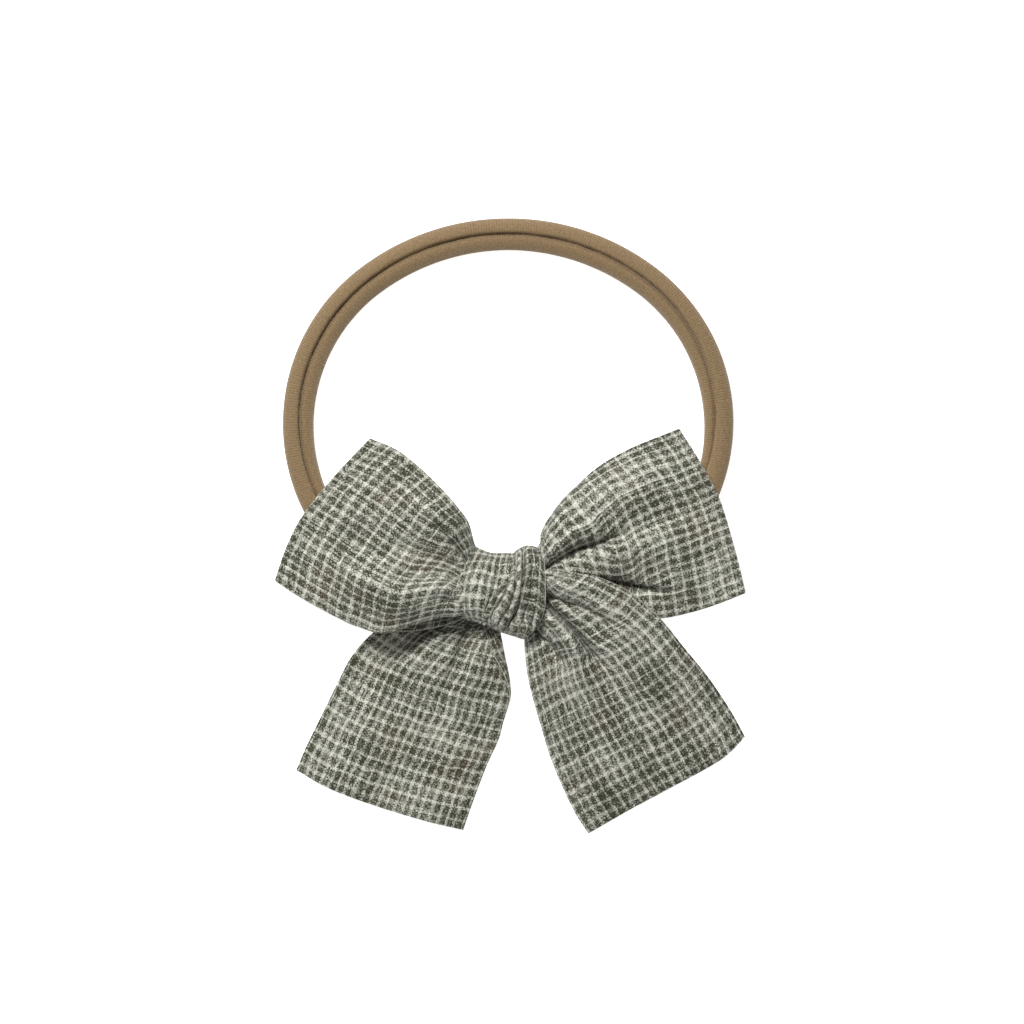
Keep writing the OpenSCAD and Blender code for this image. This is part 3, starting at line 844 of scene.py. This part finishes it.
def oval(side_r, half_w, half_h, count):
    """Centreline of the relaxed ring in plan: a short straight run in the knot, two side arcs and a
    flatter top arc. It starts in the middle of the knot and runs round to the right."""
    straight = half_w - side_r
    side_y = side_r - half_h
    rise = half_h - side_y
    top_r = (straight ** 2 + rise ** 2 - side_r ** 2) / (2 * (rise - side_r))
    top_y = half_h - top_r
    join = math.atan2(side_y - top_y, straight)
    right = [(straight + side_r * math.cos(a), side_y + side_r * math.sin(a))
             for a in np.linspace(-math.pi / 2, join, 200)]
    top = [(top_r * math.cos(a), top_y + top_r * math.sin(a))
           for a in np.linspace(join, math.pi - join, 200)]
    left = [(-x, y) for x, y in reversed(right)]
    line = np.array([(0, -half_h)] + right + top[1:-1] + left + [(0, -half_h)])
    far = np.concatenate([[0], np.cumsum(np.linalg.norm(np.diff(line, axis=0), axis=1))])
    at = np.linspace(0, far[-1], count, endpoint=False)
    return np.stack([np.interp(at, far, line[:, k]) for k in (0, 1)], axis=1), at / far[-1], far[-1]


def smooth_random(rng, count, window):
    """Random values round the band, averaged over a window of rings."""
    return np.convolve(rng.normal(0, 1, count), np.ones(window) / window, mode="same")


def seat(low, near):
    """Height at which each ring of the band lies. Within 12 mm of the knot's middle it is held by
    the squeezed turns, and past 36 mm it rests on the table. low is how far the ring reaches below
    its own middle, and near its distance from the knot's middle."""
    held, window, lift = 3.2, 41, 0.25
    around = np.concatenate([low[-(window // 2):], low, low[:window // 2]])
    resting = np.convolve(around, np.ones(window) / window, mode="valid") + lift
    share = np.clip((near - 12) / 24, 0, 1)
    return held + (resting - held) * share ** 2 * (3 - 2 * share)


def band():
    """Nylon tape whose edges curl to meet in a groove. The groove rolls inwards down the sides."""
    rings, sides = 760, 72
    plan, share, length = oval(side_r=44.2, half_w=51.4, half_h=45.4, count=rings)
    ahead = np.roll(plan, -1, axis=0) - np.roll(plan, 1, axis=0)
    ahead /= np.linalg.norm(ahead, axis=1, keepdims=True)
    inward = np.stack([-ahead[:, 1], ahead[:, 0]], axis=1)
    roll = np.radians(spline([0, 0.07, 0.17, 0.25, 0.33, 0.5, 0.67, 0.75, 0.83, 0.93, 1],
                             [100, 92, 66, 34, 12, 2, 4, 15, 34, 84, 100], share))
    near = np.minimum(share, 1 - share) * length
    squeeze = spline([0, 7.5, 12, 200], [0.56, 0.56, 1, 1], near)
    angle = np.arange(sides) * 2 * math.pi / sides
    wide = spline([0, 0.1, 0.3, 0.5, 0.7, 0.9, 1], [3.3, 3.4, 3.6, 3.85, 3.65, 3.4, 3.3], share)
    thick = 2.9
    from_groove = (angle - math.pi / 2 + math.pi) % (2 * math.pi) - math.pi
    rng = np.random.default_rng(3)
    pucker = smooth_random(rng, rings, 5)
    lean = smooth_random(rng, rings, 41) * 0.22
    swell = smooth_random(rng, rings, 61) * 0.35
    grid = np.zeros((rings, sides, 3))
    for i in range(rings):
        g = from_groove - lean[i]
        sharp = (1.5 + 0.25 * pucker[i]) * np.exp(-(g / 0.15) ** 2)
        shoulder = 0.42 * np.exp(-(g / 0.42) ** 2)
        r = 1 / np.sqrt((np.cos(angle) / wide[i]) ** 2 + (np.sin(angle) / thick) ** 2)
        r = (r - (sharp + shoulder)) * squeeze[i] * (1 + 0.05 * swell[i])
        across, up = r * np.cos(angle), r * np.sin(angle)
        c, s = math.cos(-roll[i]), math.sin(-roll[i])
        grid[i, :, :2] = plan[i] + (across * c - up * s)[:, None] * inward[i]
        grid[i, :, 2] = across * s + up * c
    grid[..., 2] += seat(-grid[..., 2].min(axis=1), near)[:, None]
    off_table = 0.03
    grid[..., 2] += np.maximum(off_table - grid[..., 2].min(axis=1), 0)[:, None]
    around = np.repeat((angle * wide[0])[None, :], rings, axis=0)
    along = np.repeat((share * length)[:, None], sides, axis=1)
    uvs = np.dstack([along, around]).reshape(-1, 2)
    faces = ring_faces(rings, sides, closed=True)
    piece = mesh_object("curled_band", grid.reshape(-1, 3), faces, uvs, [NYLON], [0] * len(faces))
    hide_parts("nylon_band")
    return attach(piece, "band")


band()
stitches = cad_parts["band_join_stitches"]
stitches.data.materials.clear()
stitches.data.materials.append(STITCH)


# ---------------------------------------------------------------- table, light and camera

def table():
    """Plain pale table that glows a little, as the photo's cut-out background does."""
    bpy.ops.mesh.primitive_plane_add(size=6)
    floor = bpy.context.object
    floor.name = "table"
    n = Nodes("table", 0.9)
    where = n.add("ShaderNodeTexCoord").outputs["Object"]
    n.colour(n.mix(n.noise(where, 3.0), srgb(247, 247, 247), srgb(250, 250, 250)))
    n.shader.inputs["Emission Color"].default_value = (1, 1, 1, 1)
    n.shader.inputs["Emission Strength"].default_value = 0.82
    floor.data.materials.append(n.material)


def area_light(name, place, size, power, aim):
    """A square soft light at a place, turned towards aim."""
    lamp = bpy.data.objects.new(name, bpy.data.lights.new(name, "AREA"))
    lamp.data.size = size
    lamp.data.energy = power
    lamp.location = place
    lamp.rotation_euler = (Vector(aim) - Vector(place)).to_track_quat("-Z", "Y").to_euler()
    bpy.context.scene.collection.objects.link(lamp)


def camera(centre_x, centre_y, width, lens):
    """A camera straight above, which sees the given width of the table."""
    data = bpy.data.cameras.new("camera")
    data.lens = lens
    made = bpy.data.objects.new("camera", data)
    made.location = (centre_x, centre_y, width * lens / data.sensor_width)
    bpy.context.scene.collection.objects.link(made)
    bpy.context.scene.camera = made


table()
centre = (cad_box[0] + cad_box[1]) / 2
area_light("key", place=(-0.2, 0.4, 0.78), size=0.22, power=8.0, aim=centre)
area_light("fill", place=(0.2, -0.3, 0.8), size=0.8, power=0.7, aim=centre)
world = bpy.data.worlds.new("studio")
world.use_nodes = True
backdrop = world.node_tree.nodes["Background"]
backdrop.inputs["Color"].default_value = (1, 1, 1, 1)
backdrop.inputs["Strength"].default_value = 0.14
bpy.context.scene.world = world
bpy.context.scene.view_settings.view_transform = "Standard"
camera(centre_x=0.00086, centre_y=-0.0225, width=0.2509, lens=200)
